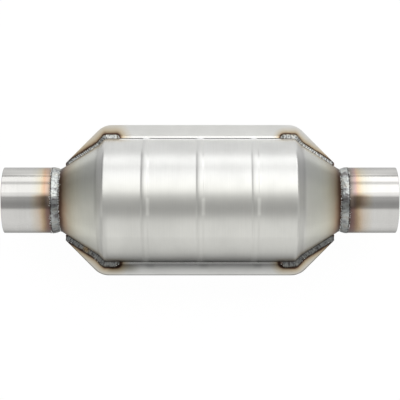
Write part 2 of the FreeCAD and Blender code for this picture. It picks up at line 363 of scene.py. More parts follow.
# Reaches of the heat tint, in millimetres from each weld's edge, where the cones lie the other way
PIPE_TINT_REACHES = {"inlet": 22.0, "outlet": 25.0}
CAN_TINT_REACHES = {"inlet": -44.0, "outlet": -39.0}
CORNER_TINT_REACHES = {"right": 9.5, "inlet left": 13.0, "outlet left": 7.5}
RING_TINT_WANDER = 4.0
CORNER_TINT_WANDER = 2.0

# Stretches along y, in metres, for fade and within
FLANKS_MEET = mm(-8.0, 6.0)
PIPE_CROWN = mm(-9.0, -4.0, 3.0, 8.0)
# Painted shade by the crown's +Y edge, and painted highlights in a band on each flank
PIPE_CROWN_EDGE_SHADE = mm(1.2, 2.8, 7.0, 8.8)
PIPE_HIGHLIGHT_BAND = mm(23.8, 24.7, 26.6, 27.4)
PIPE_LOWER_HIGHLIGHT_BAND = mm(-25.2, -28.0)


def corner_tinge(s, x, y, z, wander):
    """The colour that the four shield welds leave on the steel round them."""
    near = corner_weld_distance(x, y, z) + (wander - 0.5) * CORNER_TINT_WANDER
    right, inlet_left, outlet_left = CORNER_TINT_REACHES.values()
    to_left = inlet_left - right + x.above(0.0) * (outlet_left - inlet_left)
    reach = right + y.above(0.0) * to_left
    return s.ramp((near / reach).unit(), CORNER_TINT)


def can_tint(s, x, y, reach):
    """Heat tint on the cones: a little paler on the -Y flank."""
    return s.blend(y.fade(*FLANKS_MEET), s.ramp(reach, CAN_LOWER_TINT), s.ramp(reach, CAN_UPPER_TINT))


def pipe_tint(s, x, y, reach):
    """Heat tint on the stubs: straw and orange, browner on the -Y flank and the crown, with painted shade by
    the crown's +Y edge and painted highlights along both flanks.
    """
    upper = s.blend(x.above(0.0), s.ramp(reach, INLET_PIPE_TINT), s.ramp(reach, OUTLET_PIPE_TINT))
    flanks = s.blend(y.fade(*FLANKS_MEET), s.ramp(reach, PIPE_LOWER_TINT), upper)
    colour = s.blend(y.within(*PIPE_CROWN), flanks, s.ramp(reach, PIPE_CROWN_TINT))
    # Painted shade by the crown's edge and painted highlights on the flanks
    colour = s.times(colour, 0.80, y.within(*PIPE_CROWN_EDGE_SHADE))
    painted_highlight = y.within(*PIPE_HIGHLIGHT_BAND) + y.fade(*PIPE_LOWER_HIGHLIGHT_BAND) * 0.65
    return s.times(colour, 1.28, painted_highlight)


# Materials

PATCH_SCALES = (30.0, 30.0, 30.0)
WANDER_SCALES = (60.0, 60.0, 60.0)
SHEET_GRAIN_SCALES = (60.0, 1500.0, 1500.0)
SHEET_TONES = ((0.90, 0.90, 0.875), (0.855, 0.855, 0.83))

# Places on the shield's flange, in metres; those along y count from the axis towards -Y
FLANGE_ROUNDING = 21.0 * MM
FLANGE_SQUARENESS = 8.75
HEM_FOOT = mm(0.1, 0.5)
HEM_TOP = mm(1.4, 0.9)
SHEET_BELOW = mm(-0.3, -0.9)
PAST_CAN = mm(88, 100)
SEAM_START = CAN_RADIUS + 2.0 * MM
SEAM_WIDTH = 11.0 * MM
# A darker patch on the -Y flange near the inlet end
DARK_PATCH = mm(-100, -90, -74, -60)
DARK_PATCH_OUT = mm(78, 70)
RIBBED = mm(76, 70)
# Painted reflections of the ribs on the -Y flange: their shift, half width and reach
RIB_REFLECTION_SHIFT = 4.0 * MM
RIB_REFLECTION_HALF = mm(7, 1)
RIB_REFLECTION_OUT = mm(73, 67)
# Painted shade along the -Y flange's outer edge
EDGE_SHADE = mm(-1.3, -0.4)

# Painted shade on the -Y flange beside the can, lighter further out
FLANGE_SEAM_SHADE = [(0.0, 0.31), (0.22, 0.48), (0.6, 0.86), (0.9, 1.0)]  # from the can outwards
DARK_PATCH_TONE = (0.63, 0.61, 0.56)
RIB_REFLECTION_TONE = 0.78
EDGE_SHADE_TONE = 0.5
# Hem tones: painted shade on the -Y hem's outer flank, a painted highlight on its top, and the +Y hem's tone
HEM_TONES = {"flank": 0.27, "top": 0.88, "left": 0.9}


def from_rib(x):
    """How far x lies past the middle of the nearest rib."""
    return x - (x / RIB_PITCH).math("ROUND") * RIB_PITCH


def flange_edge(x, y):
    """How far a point lies past the -Y flange's rounded outline, in metres; negative inside it."""
    side = ((-y - FLANGE_HALF_WIDTH + FLANGE_ROUNDING) / FLANGE_ROUNDING).high(0.0)
    past_slant = (x.abs() - y - CHAMFER_LINES["right"]) / math.sqrt(2)
    slant = ((past_slant + FLANGE_ROUNDING) / FLANGE_ROUNDING).high(0.0)
    both = (side ** FLANGE_SQUARENESS + slant ** FLANGE_SQUARENESS) ** (1 / FLANGE_SQUARENESS)
    return (both - 1.0) * FLANGE_ROUNDING


def flange_shade_tones(s, x, y):
    """The -Y flange's tone: painted shade along the can, one darker patch, painted reflections of the ribs,
    and painted shade along its outer edge.
    """
    out = -y
    right = out.above(0.0)
    seam = ((out - SEAM_START) / SEAM_WIDTH).unit().high(y.above(0.0)).high(x.abs().fade(*PAST_CAN))
    # Painted shade: the -Y flange is darker near the can
    tone = s.ramp(seam, FLANGE_SEAM_SHADE)
    tone = s.times(tone, DARK_PATCH_TONE, x.within(*DARK_PATCH) * out.fade(*DARK_PATCH_OUT) * right)
    # Painted reflections of the ribs: darker strips on the -Y flange
    rib_reflection = (from_rib(x) - RIB_REFLECTION_SHIFT).abs().fade(*RIB_REFLECTION_HALF) * x.abs().fade(*RIBBED)
    tone = s.times(tone, RIB_REFLECTION_TONE, rib_reflection * out.fade(*RIB_REFLECTION_OUT) * right)
    # Painted shade along the flange's outer edge
    return s.blend(flange_edge(x, y).fade(*EDGE_SHADE), tone, EDGE_SHADE_TONE)


def pressed_steel(name):
    """Satin sheet: its hem is glossier, with a painted highlight on the -Y hem's top and painted shade on
    its outer flank, and painted shade darkens one flange along the can.
    """
    s = new_shader(name)
    x, y, z = s.place()
    grain = s.grain((x, y, z), SHEET_GRAIN_SCALES, 4.0, 0.7)
    patches = s.grain((x, y, z), PATCH_SCALES)
    wander = s.grain((x, y, z), WANDER_SCALES)
    colour = s.blend(patches.fade(0.35, 0.7), *SHEET_TONES)
    colour = s.times(colour, s.ramp(grain, [(0.3, 0.88), (0.7, 1.0)]), 0.4)
    hem = (z - FLANGE_TOP).fade(*HEM_FOOT)
    hem_top = (-y - CAN_RADIUS).fade(*HEM_TOP)
    right_hem = s.blend(hem_top, HEM_TONES["flank"], HEM_TONES["top"])
    # Painted highlight on the -Y hem's top and painted shade on its outer flank
    hem_shade_and_highlight = s.blend(y.above(0.0), right_hem, HEM_TONES["left"])
    shade_tone = s.blend(hem, flange_shade_tones(s, x, y), hem_shade_and_highlight)
    shade_tone = s.blend((z - FLANGE_TOP).fade(*SHEET_BELOW), shade_tone, 1.0)
    colour = s.times(colour, shade_tone)
    colour = s.times(colour, corner_tinge(s, x, y, z, wander))
    return s.finish(
        Base_Color=colour,
        Metallic=1.0,
        Roughness=0.50 + (grain - 0.5) * 0.08 - hem * 0.22,
        Normal=s.bump(grain + patches * 0.6, 0.15, 0.05 * MM),
    )


SPUN_PATCH_SCALES = (30.0, 22.0, 22.0)

# Stretches on the can, in metres, each with the tone that it has
UPPER_SIDE = mm(-30, -5)
# Painted shade on the shoulders' upper side and at the cones' feet
SHOULDER = (BARREL_END, BARREL_END + 2.5 * MM, SHOULDER_END, SHOULDER_END + 3.0 * MM)
SHOULDER_SHADE = 0.89
CONE_FOOT = (SHOULDER_END - 3.0 * MM, SHOULDER_END, SHOULDER_END, SHOULDER_END + 3.0 * MM)
CONE_FOOT_SHADE = 0.91
COOL_SIDE = mm(8, 30)
COOL_TONE = (0.985, 0.99, 1.025)
# Painted shade at the inlet end of the barrel, on its -Y side
INLET_ELBOW_SHADE = mm(-102, -99, -97, -92)
INLET_ELBOW_SHADE_SIDE = mm(-12, -20)
INLET_ELBOW_SHADE_TONE = 0.87
# Painted shade in the crease at each rib's inlet side, and a painted highlight on its crest by the axis
CREASE = mm(-3.2, -2.4, -1.6, 0.5)  # from the rib's middle
CREASE_DEEPENS = mm(140, -60)
CREASE_SHADE = 0.75
CREST = mm(0.7, 2.5, 4.4, 6.2)  # from the rib's middle
CREST_SIDE = mm(-17, -13, 0, 4)
CREST_HIGHLIGHT = 1.22
# Painted light along the barrel's +Y edge by the shield's lip, where the colour goes to white
LIT_EDGE = mm(61.5, 63.0)
LIT_EDGE_ENDS = mm(86, 80)

# Painted shade low on the can's -Y side, by the shield's lip
SEAM_SHADE_FADES = mm(-40, -20)
SEAM_HEIGHT = 58.0 * MM
CAN_SEAM_SHADE = [
    (0.0, 0.17), (0.26, 0.21), (0.38, 0.38), (0.52, 0.68),
    (0.62, 0.82), (0.76, 0.88), (0.9, 0.95), (1.0, 1.0),
]


def form_tones(s, x, y, colour):
    """Tones that go with the can's form: painted shade on the shoulders and at the cones' feet, a cool +Y
    side, and painted shade by the inlet shoulder's -Y side.
    """
    end = x.abs()
    upper = y.fade(*UPPER_SIDE)
    # Painted shade on the shoulders and at the cones' feet
    colour = s.times(colour, SHOULDER_SHADE, end.within(*SHOULDER) * upper)
    colour = s.times(colour, CONE_FOOT_SHADE, end.within(*CONE_FOOT) * (upper * 0.7 + 0.3))
    colour = s.times(colour, COOL_TONE, y.fade(*COOL_SIDE))
    # Painted shade by the inlet shoulder on the -Y side
    return s.times(colour, INLET_ELBOW_SHADE_TONE, x.within(*INLET_ELBOW_SHADE) * y.fade(*INLET_ELBOW_SHADE_SIDE))


def rib_tones(s, x, y, colour):
    """Painted shade in a crease at each rib's inlet side, deepest on the first rib, and a painted highlight
    on the crest by the axis.
    """
    ribbed = x.abs().fade(*RIBBED)
    crease = from_rib(x).within(*CREASE) * x.fade(*CREASE_DEEPENS)
    crease = crease * (y.fade(*mm(-2, 6)) * 0.65 + 0.35) * (y.fade(*mm(50, 44)) * 0.7 + 0.3)
    colour = s.times(colour, CREASE_SHADE, crease * ribbed)
    crest = from_rib(x).within(*CREST) * y.within(*CREST_SIDE)
    return s.times(colour, CREST_HIGHLIGHT, crest * ribbed)


def can_seam_shade(s, x, y, z):
    """Painted shade low on the can's -Y side, where the shield closes on it; lighter on the cones."""
    end = x.abs()
    lighter = y.fade(*SEAM_SHADE_FADES) + end.fade(BARREL_END, CONE_END) * 0.4
    lighter = lighter + end.fade(BARREL_END - 4 * MM, BARREL_END + 2 * MM) * 0.14
    seam = (lighter + (z - AXIS_Z) / SEAM_HEIGHT).unit()
    return s.ramp(seam, [(place, (v, v * 0.985, v * 0.96)) for place, v in CAN_SEAM_SHADE])


def can_marks(s, x, y, z, wander, colour, roughness):
    """The can's colour and roughness with heat tint, painted shade and painted light."""
    colour = form_tones(s, x, y, colour)
    colour = rib_tones(s, x, y, colour)
    colour = s.times(colour, corner_tinge(s, x, y, z, wander))
    # Painted shade low on the -Y side
    colour = s.times(colour, can_seam_shade(s, x, y, z))
    # Painted light: white along the +Y edge, which is rougher too
    edge = y.fade(*LIT_EDGE) * x.abs().fade(*LIT_EDGE_ENDS)
    return s.blend(edge, colour, 1.0), edge * 0.35 + roughness


CAN_FINISH = {
    "base": (0.738, 0.747, 0.724), "roughness": 0.33, "line_pitch": 0.5 * MM, "line_depth": 0.18,
    "weld_edge": CONE_END - 1.2 * MM, "reaches": CAN_TINT_REACHES, "ring_tint": can_tint, "marks": can_marks,
}
PIPE_FINISH = {
    "base": (0.67, 0.662, 0.64), "roughness": 0.13, "line_pitch": 0.8 * MM, "line_depth": 0.12,
    "weld_edge": PIPE_FOOT, "reaches": PIPE_TINT_REACHES, "ring_tint": pipe_tint,
}


def turned_steel(name, base, roughness, line_pitch, line_depth, weld_edge, reaches, ring_tint, marks=None):
    """Stainless steel with fine lines round the exhaust axis and the welds' heat tint."""
    s = new_shader(name)
    x, y, z = s.place()
    angle = y.math("ARCTAN2", z - AXIS_Z)
    lines = s.grain((x, angle, 0.0), (1 / line_pitch, 1.3, 1.0), 4.0, 0.7)
    patches = s.grain((x, y, z), SPUN_PATCH_SCALES)
    wander = s.grain((x, y, z), WANDER_SCALES)
    colour = s.blend(patches.fade(0.35, 0.7), base, [level * 0.93 for level in base])
    colour = s.times(colour, s.ramp(lines, [(0.3, 0.86), (0.7, 1.0)]), 0.5)
    away = (x.abs() - weld_edge) / MM
    inlet, outlet = reaches["inlet"], reaches["outlet"]
    reach = away / (inlet + (outlet - inlet) * x.above(0.0))
    reach = (reach + (wander - 0.5) * (RING_TINT_WANDER / abs(inlet))).unit()
    colour = s.times(colour, ring_tint(s, x, y, reach))
    if marks:
        colour, roughness = marks(s, x, y, z, wander, colour, roughness)
    return s.finish(
        Base_Color=colour,
        Metallic=1.0,
        Roughness=roughness + (lines - 0.5) * 0.10 + (patches - 0.5) * 0.06,
        Normal=s.bump(lines + patches * 0.6, line_depth, 0.05 * MM),
    )


WELD_TONES = [
    (0.24, (0.23, 0.22, 0.22)), (0.40, (0.41, 0.42, 0.43)), (0.58, (0.64, 0.67, 0.66)),
    (0.74, (0.50, 0.48, 0.45)), (0.86, (0.78, 0.80, 0.78)),
]

# Painted shade across the part, darker towards -Y: pairs of y in millimetres and a grey level
RING_SIDE_SHADE = [(-34, 0.50), (-26, 0.56), (-16, 0.76), (-11, 0.50), (-7, 0.40), (-1, 0.52), (6, 1.0)]
BEAD_SIDE_SHADE = [(-34, 0.31), (0, 0.6), (34, 0.85)]
SIDE_SHADE_SPAN = 80.0

BURNT_SPOT = mm(-118.0, -50.8)
BURNT_REACH = mm(6.0, 1.0)
BURNT_TONE = (1.25, 0.92, 0.58)
BROWN_STARTS = mm(88, 84)
BROWN_STARTS_SIDE = mm(-55, -60)
BROWN_TONE = (0.16, 0.085, 0.06)
TOE_TONE = (0.035, 0.026, 0.024)
PEARL_TONE = (0.88, 0.89, 0.88)

# Values that the weld meshes carry: toe is low where oxide lies, and streak picks the metal's tone
BARE_TOE = 0.42
SPATTER_STREAK = 0.85
PEARL_STREAK = 1.5
PEARLS_ABOVE = 1.4


def weld_steel(name, shade_levels):
    """Filler metal: silvery on its crests, dark with oxide in its grooves and at its toes, with painted
    shade across it by y.
    """
    s = new_shader(name)
    x, y, z = s.place()
    point = s.vector(x, y, z)
    blotch = s.noise(point, 240.0, 4.0, 0.6)
    grain = s.noise(point, 1400.0, 3.0, 0.6)
    toe = s.attribute("toe")
    streak = s.attribute("streak")
    colour = s.ramp(blotch + (streak - 0.5) * 0.7, WELD_TONES)
    # Painted shade by y across the part
    stops = [(place / SIDE_SHADE_SPAN + 0.5, (level, level, level * 0.98)) for place, level in shade_levels]
    colour = s.times(colour, s.ramp(y / (SIDE_SHADE_SPAN * MM) + 0.5, stops))
    along = x - BURNT_SPOT[0]
    aside = y - BURNT_SPOT[1]
    colour = s.times(colour, BURNT_TONE, ((along * along + aside * aside) ** 0.5).fade(*BURNT_REACH))
    start = x.abs().fade(*BROWN_STARTS) * y.fade(*BROWN_STARTS_SIDE)
    colour = s.blend(start * blotch.fade(0.40, 0.55) * 0.6, colour, BROWN_TONE)
    colour = s.blend(toe.fade(0.08, BARE_TOE), TOE_TONE, colour)
    colour = s.blend(streak.above(PEARLS_ABOVE), colour, PEARL_TONE)
    return s.finish(
        Base_Color=colour,
        Metallic=1.0,
        Roughness=0.32 + (grain - 0.5) * 0.25,
        Normal=s.bump(grain + blotch * 0.8, 0.5, 0.12 * MM),
    )


def coated_ceramic(name):
    """Porous cordierite with its washcoat: matt, pale brown, a little mottled."""
    s = new_shader(name)
    x, y, z = s.place()
    point = s.vector(x, y, z)
    mottle = s.noise(point, 90.0, 4.0)
    pores = s.noise(point, 4000.0, 2.0)
    return s.finish(
        Base_Color=s.ramp(mottle, [(0.3, (0.46, 0.38, 0.28)), (0.7, (0.58, 0.50, 0.39))]),
        Roughness=0.9 + (pores - 0.5) * 0.15,
        Normal=s.bump(pores, 0.4, 0.05 * MM),
    )


def fibre_mat(name):
    """Pressed ceramic fibre felt with flecks of mica."""
    s = new_shader(name)
    x, y, z = s.place()
    fibres = s.grain((x, y, z), (900.0, 2600.0, 900.0), 4.0)
    fleck = s.noise(s.vector(x, y, z), 700.0, 1.0).fade(0.62, 0.68)
    return s.finish(
        Base_Color=s.blend(fleck, (0.82, 0.79, 0.70), (0.55, 0.44, 0.28)),
        Roughness=0.95 - fleck * 0.3,
        Normal=s.bump(fibres, 0.8, 0.3 * MM),
    )


LOOPS_AROUND = 210.0
LOOP_LEAN = 900.0
WIRE_ROWS = 4200.0


def knitted_wire(name):
    """A pressed ring of knitted stainless wire: rows of small loops with dark gaps."""
    s = new_shader(name)
    x, y, z = s.place()
    height = z - AXIS_Z
    turn = y.math("ARCTAN2", height) * LOOPS_AROUND
    out = (y * y + height * height) ** 0.5
    loop = (turn + (x + out) * LOOP_LEAN).math("SINE")
    row = ((x - out) * WIRE_ROWS + turn.math("SINE") * 1.2).math("SINE")
    wire = (loop.abs() * 0.6 + row.abs() * 0.6).unit()
    return s.finish(
        Base_Color=s.ramp(wire, [(0.15, (0.05, 0.045, 0.04)), (0.6, (0.50, 0.48, 0.45))]),
        Metallic=1.0,
        Roughness=0.45 - wire * 0.1,
        Normal=s.bump(wire, 0.9, 0.25 * MM),
    )


# Mesh building


def run_points(start, end, step, support):
    """Points between two ends, one support length in from each and step apart between."""
    run = end - start
    length = run.length
    if length <= 2.5 * support:
        return []
    count = max(1, round((length - 2 * support) / step))
    first = start + run * (support / length)
    last = end - run * (support / length)
    return [first.lerp(last, i / count) for i in range(count + 1)]


def bent_line(corners, step=5 * MM, support=0.35 * MM, turn_step=math.radians(7)):
    """Points of a line through corners, each an (x, radius, bend), with its bends as fine arcs."""
    places = [Vector(corner[:2]) for corner in corners]
    points = [places[0]]
    for i in range(1, len(corners) - 1):
        corner = places[i]
        back = (places[i - 1] - corner).normalized()
        ahead = (places[i + 1] - corner).normalized()
        turn = math.pi - back.angle(ahead)
        bend = corners[i][2]
        reach = bend * math.tan(turn / 2)
        centre = corner + (back + ahead).normalized() * (bend / math.cos(turn / 2))
        start = corner + back * reach
        end = corner + ahead * reach
        points += run_points(points[-1], start, step, support) + [start]
        count = max(2, math.ceil(turn / turn_step))
        spoke = start - centre
        sign = 1 if spoke.cross(end - centre) > 0 else -1
        for k in range(1, count):
            c, n = math.cos(sign * turn * k / count), math.sin(sign * turn * k / count)
            points.append(centre + Vector((spoke.x * c - spoke.y * n, spoke.x * n + spoke.y * c)))
        points.append(end)
    return points + run_points(points[-1], places[-1], step, support) + [places[-1]]


def add_piece(name, bm, material, node, smooth=True):
    """Turns the built mesh into a piece that stands for a node of the part."""
    bmesh.ops.recalc_face_normals(bm, faces=bm.faces)
    mesh = bpy.data.meshes.new(name)
    bm.to_mesh(mesh)
    bm.free()
    mesh.polygons.foreach_set("use_smooth", [smooth] * len(mesh.polygons))
    mesh.materials.append(material)
    piece = bpy.data.objects.new(name, mesh)
    bpy.context.scene.collection.objects.link(piece)
    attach(piece, "root")
    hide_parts(node)


def ring_faces(bm, rings, closed=True):
    """Faces between each loop of points and the next, and from the last to the first if closed."""
    pairs = list(zip(rings, rings[1:]))
    if closed:
        pairs.append((rings[-1], rings[0]))
    for one, two in pairs:
        for i in range(len(one)):
            k = (i + 1) % len(one)
            bm.faces.new((one[i], one[k], two[k], two[i]))


def around_axis(x, radius, angle):
    """The point at an angle round the exhaust axis, counted from straight up towards +Y."""
    return Vector((x, radius * math.sin(angle), AXIS_Z + radius * math.cos(angle)))


def lathe(profile, segments, ripple):
    """Turns a closed profile of (x, radius) points round the exhaust axis."""
    bm = bmesh.new()
    rings = []
    for i in range(segments):
        angle = 2 * math.pi * i / segments
        points = [around_axis(x, radius + ripple(x, angle), angle) for x, radius in profile]
        rings.append([bm.verts.new(point) for point in points])
    ring_faces(bm, rings)
    return bm


# The can

CAN_SEGMENTS = 192

LINING_SETBACKS = mm(0.6, 1.0, 0.4)  # of its corners from the skin's
LINING_BENDS = mm(3.0, 5.0, 5.5)
LINING_SHOULDER_RISE = 0.65 * MM


def can_corners():
    """The outer skin, from the inlet's rim to the outlet's."""
    end = [
        (BARREL_END, CAN_RADIUS, SPUN_BEND),
        (SHOULDER_END, SHOULDER_RADIUS, SPUN_BEND),
        (CONE_END, NECK_RADIUS, SPUN_BEND),
        (NECK_END, NECK_RADIUS, EDGE_ROUNDING),
        (NECK_END, NECK_RADIUS - CAN_WALL / 2, 0.0),
    ]
    ribs = []
    for centre in (-RIB_PITCH, 0.0, RIB_PITCH):
        ribs += [
            (centre - RIB_FOOT / 2, CAN_RADIUS, RIB_FOOT_BEND),
            (centre - RIB_CREST / 2, CAN_RADIUS + RIB_HEIGHT, SPUN_BEND),
            (centre + RIB_CREST / 2, CAN_RADIUS + RIB_HEIGHT, SPUN_BEND),
            (centre + RIB_FOOT / 2, CAN_RADIUS, RIB_FOOT_BEND),
        ]
    return [(-x, radius, bend) for x, radius, bend in reversed(end)] + ribs + end


def can_lining():
    """The inner skin, from the outlet's rim back to the inlet's; its ribs hide behind the mats."""
    bore = NECK_RADIUS - CAN_WALL
    shoulder = SHOULDER_RADIUS - CAN_WALL * math.hypot(1, CONE_SLOPE) + LINING_SHOULDER_RISE
    ends = zip((BARREL_END, SHOULDER_END, CONE_END), LINING_SETBACKS)
    radii = (CAN_RADIUS - CAN_WALL, shoulder, bore)
    half = [(x - setback, radius, bend) for (x, setback), radius, bend in zip(ends, radii, LINING_BENDS)]
    half += [(NECK_END, bore, EDGE_ROUNDING), (NECK_END, bore + CAN_WALL / 2, 0.0)]
    return half[::-1] + [(-x, radius, bend) for x, radius, bend in half]


def spun_unevenness(x, angle):
    """Spinning leaves the skin a few hundredths of a millimetre out of true."""
    around = Vector((math.cos(angle), math.sin(angle), 0.0)) * 1.6
    slow = noise.noise(around + Vector((0.0, 0.0, x * 18.0)))
    fine = noise.noise(around * 0.5 + Vector((5.0, 0.0, x * 110.0)))
    return SPUN_ERROR * slow + SPUN_RINGS * fine


def make_can(steel):
    """The spun can with its three ribs, as a sheet with a skin inside and out."""
    outer = bent_line(can_corners())
    inner = bent_line(can_lining(), step=12 * MM, turn_step=math.radians(12))
    bm = lathe(outer + inner[1:-1], CAN_SEGMENTS, spun_unevenness)
    add_piece("spun_can", bm, steel, "can")


# The pipe stubs

PIPE_SEGMENTS = 160
PIPE_UNEVENNESS = 0.02 * MM
CUT_ROUNDING = 0.05 * MM
FOOT_ROUNDING = 0.2 * MM


def drawn_unevenness(x, angle):
    """A drawn tube is truer than a spun one."""
    return PIPE_UNEVENNESS * noise.noise(Vector((x * 40, math.cos(angle) * 2, math.sin(angle) * 2)))


def make_pipe(name, node, side, steel):
    """A stub with the step in its bore that stops the pipe pushed into it."""
    half_foot = (NECK_RADIUS + PIPE_RADIUS) / 2
    corners = [
        (PIPE_FOOT, half_foot, 0.0),
        (PIPE_FOOT, PIPE_RADIUS, FOOT_ROUNDING),
        (PIPE_MOUTH, PIPE_RADIUS, MOUTH_ROUNDING),
        (PIPE_MOUTH, MOUTH_RADIUS, EDGE_ROUNDING),
        (PIPE_STOP, MOUTH_RADIUS, CUT_ROUNDING),
        (PIPE_STOP, PIPE_INNER_FOOT, CUT_ROUNDING),
        (PIPE_FOOT, PIPE_INNER_FOOT, CUT_ROUNDING),
        (PIPE_FOOT, half_foot, 0.0),
    ]
    profile = [Vector((side * point.x, point.y)) for point in bent_line(corners)[:-1]]
    add_piece(name, lathe(profile, PIPE_SEGMENTS, drawn_unevenness), steel, node)


# What all welds share

LUMP_SIZE = 2.2 * MM
RELIEF_EDGE = 0.4  # the dome's power in the relief
RIPPLE_WANDER = 0.5  # of a ripple's pitch


def scallops(along, across, bow, wander):
    """Height of overlapping weld ripples: crescents with narrow grooves between them."""
    t = (along + bow * (2 * across - 1) ** 2 + wander) % 1.0
    return math.sqrt(max(0.0, 1 - (2 * t - 1) ** 2)) - 0.75


def lumps(point, size):
    """Soft unevenness of about the given size, between -1 and 1."""
    return noise.noise(point / size)


def dome(v):
    """0 at both edges of a bead and 1 half-way across it."""
    return 4 * v * (1 - v)


def relief(point, wave, bulge, heights, grain_size):
    """How far ripples, lumps and fine grain stand over a bead's smooth shape, in metres."""
    ripple, lump, grain = heights
    uneven = ripple * wave + lump * lumps(point, LUMP_SIZE) + grain * lumps(point, grain_size)
    return uneven * bulge ** RELIEF_EDGE


def weld_mesh():
    """An empty mesh, and the layers of the two values that the weld's material reads."""
    bm = bmesh.new()
    return bm, [bm.verts.layers.float.new("toe"), bm.verts.layers.float.new("streak")]


def add_section(bm, layers, bead, base):
    """A loop of points: the bead's, each a (place, toe, streak), and then the plain ones that close it."""
    loop = []
    for place, *values in bead:
        vert = bm.verts.new(place)
        for layer, value in zip(layers, values):
            vert[layer] = value
        loop.append(vert)
    return loop + [bm.verts.new(place) for place in base]


def add_balls(bm, layers, spots, streak):
    """Small balls of metal, half sunk at the spots, each a (place, radius)."""
    ball = bmesh.new()
    bmesh.ops.create_icosphere(ball, subdivisions=2, radius=1.0)
    ball.verts.index_update()
    points = [vert.co.copy() for vert in ball.verts]
    faces = [[vert.index for vert in face.verts] for face in ball.faces]
    ball.free()
    for place, radius in spots:
        shell = [(place + point * radius, BARE_TOE, streak) for point in points]
        verts = add_section(bm, layers, shell, [])
        for face in faces:
            bm.faces.new([verts[i] for i in face])


# The ring welds

RING_AROUND = 840
RING_ACROSS = 26
RING_RIPPLES = round(2 * math.pi * PIPE_RADIUS / RING_PITCH)
RING_TOE = Vector((PIPE_FOOT - RING_WIDTH, NECK_RADIUS))
RING_CHORD = Vector((PIPE_FOOT + 0.5 * MM, PIPE_RADIUS)) - RING_TOE
RING_OUTWARD = Vector((-RING_CHORD.y, RING_CHORD.x)).normalized()
RING_BASE_RADIUS = NECK_RADIUS - 0.3 * MM
RING_NOISE_RADIUS = 34.0 * MM
RING_FULLNESS = 0.6  # the dome's power in the smooth bead
RING_RELIEF = mm(0.20, 0.22, 0.14)
RING_GRAIN_SIZE = 0.9 * MM
RING_BOW = 0.7
RING_FRONT = 0.7 * MM  # how far each ripple pushes both edges out
RING_EDGE_WANDER = 0.5 * MM

SPATTER_SPOTS = 230
SPATTER_ON_PIPE = 0.4
SPATTER_REACH = (-0.2, 2.4, 0.2)  # lowest, highest and commonest, in millimetres
SPATTER_SIZES = mm(0.20, 0.55)
PEARL_SIZES = mm(0.38, 0.62)
PEARL_TURNS = (0.045, 0.085)
PEARL_GAPS = {"can": -0.35, "pipe": 0.05}  # a pearl is left out where slow noise is lower


def ring_section(side, i):
    """A ring weld's bead at one place round the neck, and the points under it."""
    angle = 2 * math.pi * i / RING_AROUND
    spoke = Vector((0.0, math.sin(angle), math.cos(angle)))
    turn = spoke * RING_NOISE_RADIUS + Vector((side * 0.1, 0.0, 0.0))
    along = i * RING_RIPPLES / RING_AROUND
    wander = RIPPLE_WANDER * lumps(turn, 9.0 * MM)
    toe_shift = RING_EDGE_WANDER * lumps(turn, 4.0 * MM)
    top_shift = RING_EDGE_WANDER * lumps(turn + Vector((0.05, 0.0, 0.0)), 2.5 * MM)
    bead = []
    for j in range(RING_ACROSS + 1):
        v = j / RING_ACROSS
        bulge = dome(v)
        place = RING_TOE + RING_CHORD * v + RING_OUTWARD * (RING_CROWN * bulge ** RING_FULLNESS)
        front = RING_FRONT * scallops(along, v, 0.0, wander)
        wave = scallops(along, v, RING_BOW, wander)
        slide = (toe_shift - front) * (1 - v) + (top_shift + 0.9 * front) * v
        point = Vector((side * place.x, spoke.y * place.y, spoke.z * place.y))
        radius = place.y + relief(point, wave, bulge, RING_RELIEF, RING_GRAIN_SIZE)
        toe = bulge * (0.7 + 0.3 * min(1.0, wave + 0.9))
        streak = 0.5 + 0.45 * lumps(turn + Vector((v * 3 * MM, 0.0, 0.0)), 4.5 * MM)
        bead.append((around_axis(side * (place.x + slide), radius, angle), toe, streak))
    ends = (RING_TOE.x + RING_CHORD.x, RING_TOE.x)
    return bead, [around_axis(side * x, RING_BASE_RADIUS, angle) for x in ends]


def ring_spatter(side):
    """Spots beside the ring weld, most of them close to it."""
    spots = []
    for _ in range(SPATTER_SPOTS):
        angle = random.uniform(0, 2 * math.pi)
        on_pipe = random.random() < SPATTER_ON_PIPE
        reach = random.triangular(*SPATTER_REACH) * MM
        x = PIPE_FOOT + 0.6 * MM + reach if on_pipe else PIPE_FOOT - RING_WIDTH + 0.8 * MM - reach
        radius = PIPE_RADIUS if on_pipe else can_side(x)
        spots.append((around_axis(side * x, radius, angle), random.uniform(*SPATTER_SIZES)))
    return spots


def ring_pearls(side):
    """Bright pearls in a broken row along each edge of the ring weld, denser on the can."""
    pearls = []
    edges = (("can", PIPE_FOOT - RING_WIDTH + 0.3 * MM, -1), ("pipe", PIPE_FOOT + 0.7 * MM, 1))
    for carrier, edge, out in edges:
        angle = 0.0
        while angle < 2 * math.pi:
            angle += random.uniform(*PEARL_TURNS)
            x = edge + out * random.uniform(-0.2, 0.7) * MM
            size = random.uniform(*PEARL_SIZES)
            spoke = Vector((0.0, math.sin(angle), math.cos(angle)))
            patchy = noise.noise(spoke * 2.6 + Vector((side * 3.0 + out, 0.0, 0.0)))
            if patchy > PEARL_GAPS[carrier]:
                radius = (PIPE_RADIUS if carrier == "pipe" else can_side(x)) + 0.2 * MM
                pearls.append((around_axis(side * x, radius, angle), size))
    return pearls


def make_ring_weld(name, node, side, metal):
    """The bead round the neck at a pipe's foot."""
    bm, layers = weld_mesh()
    ring_faces(bm, [add_section(bm, layers, *ring_section(side, i)) for i in range(RING_AROUND)])
    add_balls(bm, layers, ring_spatter(side), SPATTER_STREAK)
    add_balls(bm, layers, ring_pearls(side), PEARL_STREAK)
    add_piece(name, bm, metal, node)


# The shield welds

